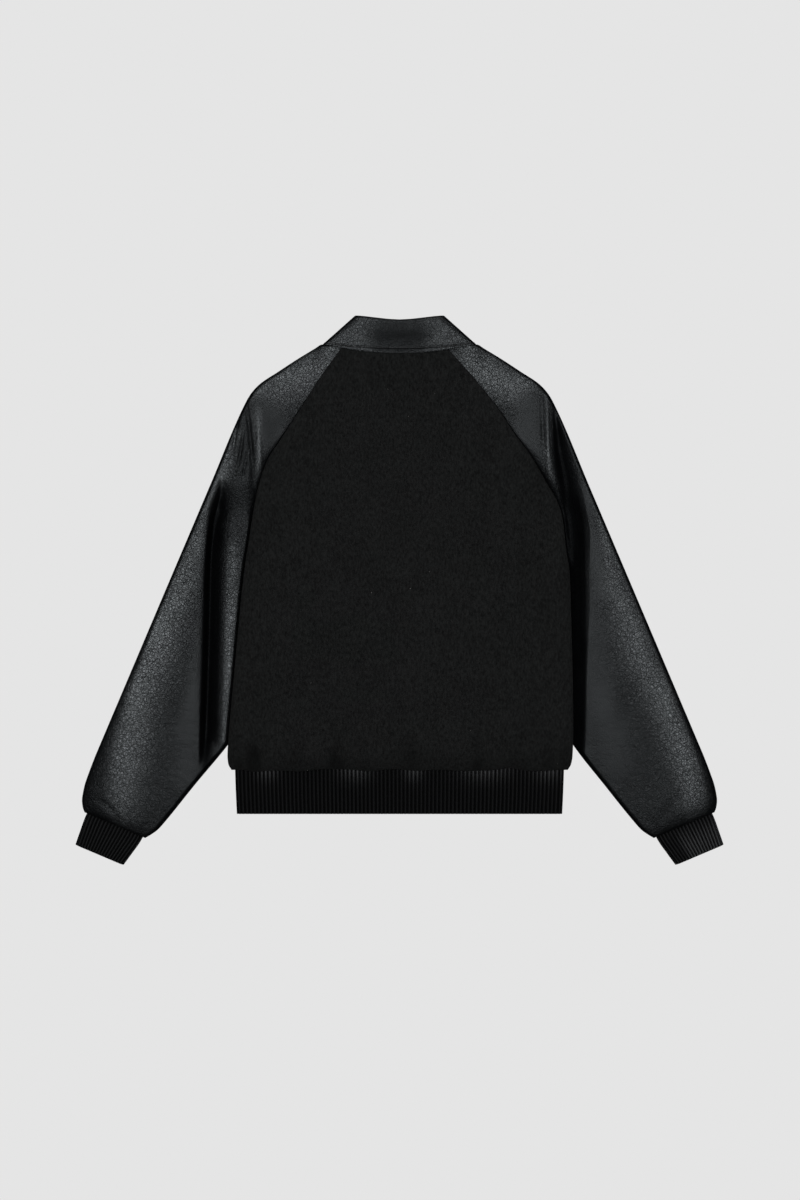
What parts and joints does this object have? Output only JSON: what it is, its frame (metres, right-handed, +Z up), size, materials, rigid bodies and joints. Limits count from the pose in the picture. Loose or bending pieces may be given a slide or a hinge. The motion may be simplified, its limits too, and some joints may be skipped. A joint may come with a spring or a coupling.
{
  "type": "varsity jacket",
  "caption": "Varsity jacket laid flat on its front with the back up: wool body, raglan leather sleeves, fold-over leather collar, ribbed hem and cuffs, snap front.",
  "frame": {"origin": "on the table under the middle of the laid-out jacket", "axes": "+X towards the wearer's right sleeve, +Y from the hem to the neck, +Z up from the table out of the back"},
  "size_m": [0.9394, 0.7959, 0.0329],
  "materials": {
    "wool": "matte black brushed wool with a few pale flecks",
    "leather": "semi-gloss black pebbled leather",
    "rib": "black ribbed knit",
    "snap": "black painted snap caps"
  },
  "bodies": {
    "root": {"back": "wool", "front_left": "wool", "front_right": "wool", "sleeve_left_back": "leather", "sleeve_left_front": "leather", "sleeve_right_back": "leather", "sleeve_right_front": "leather", "collar_fall": "leather", "collar_stand": "leather", "hem_rib": "rib", "cuff_left": "rib", "cuff_right": "rib", "snap_1": "snap", "snap_2": "snap", "snap_3": "snap", "snap_4": "snap", "snap_5": "snap", "snap_6": "snap"}
  },
  "joints": []
}
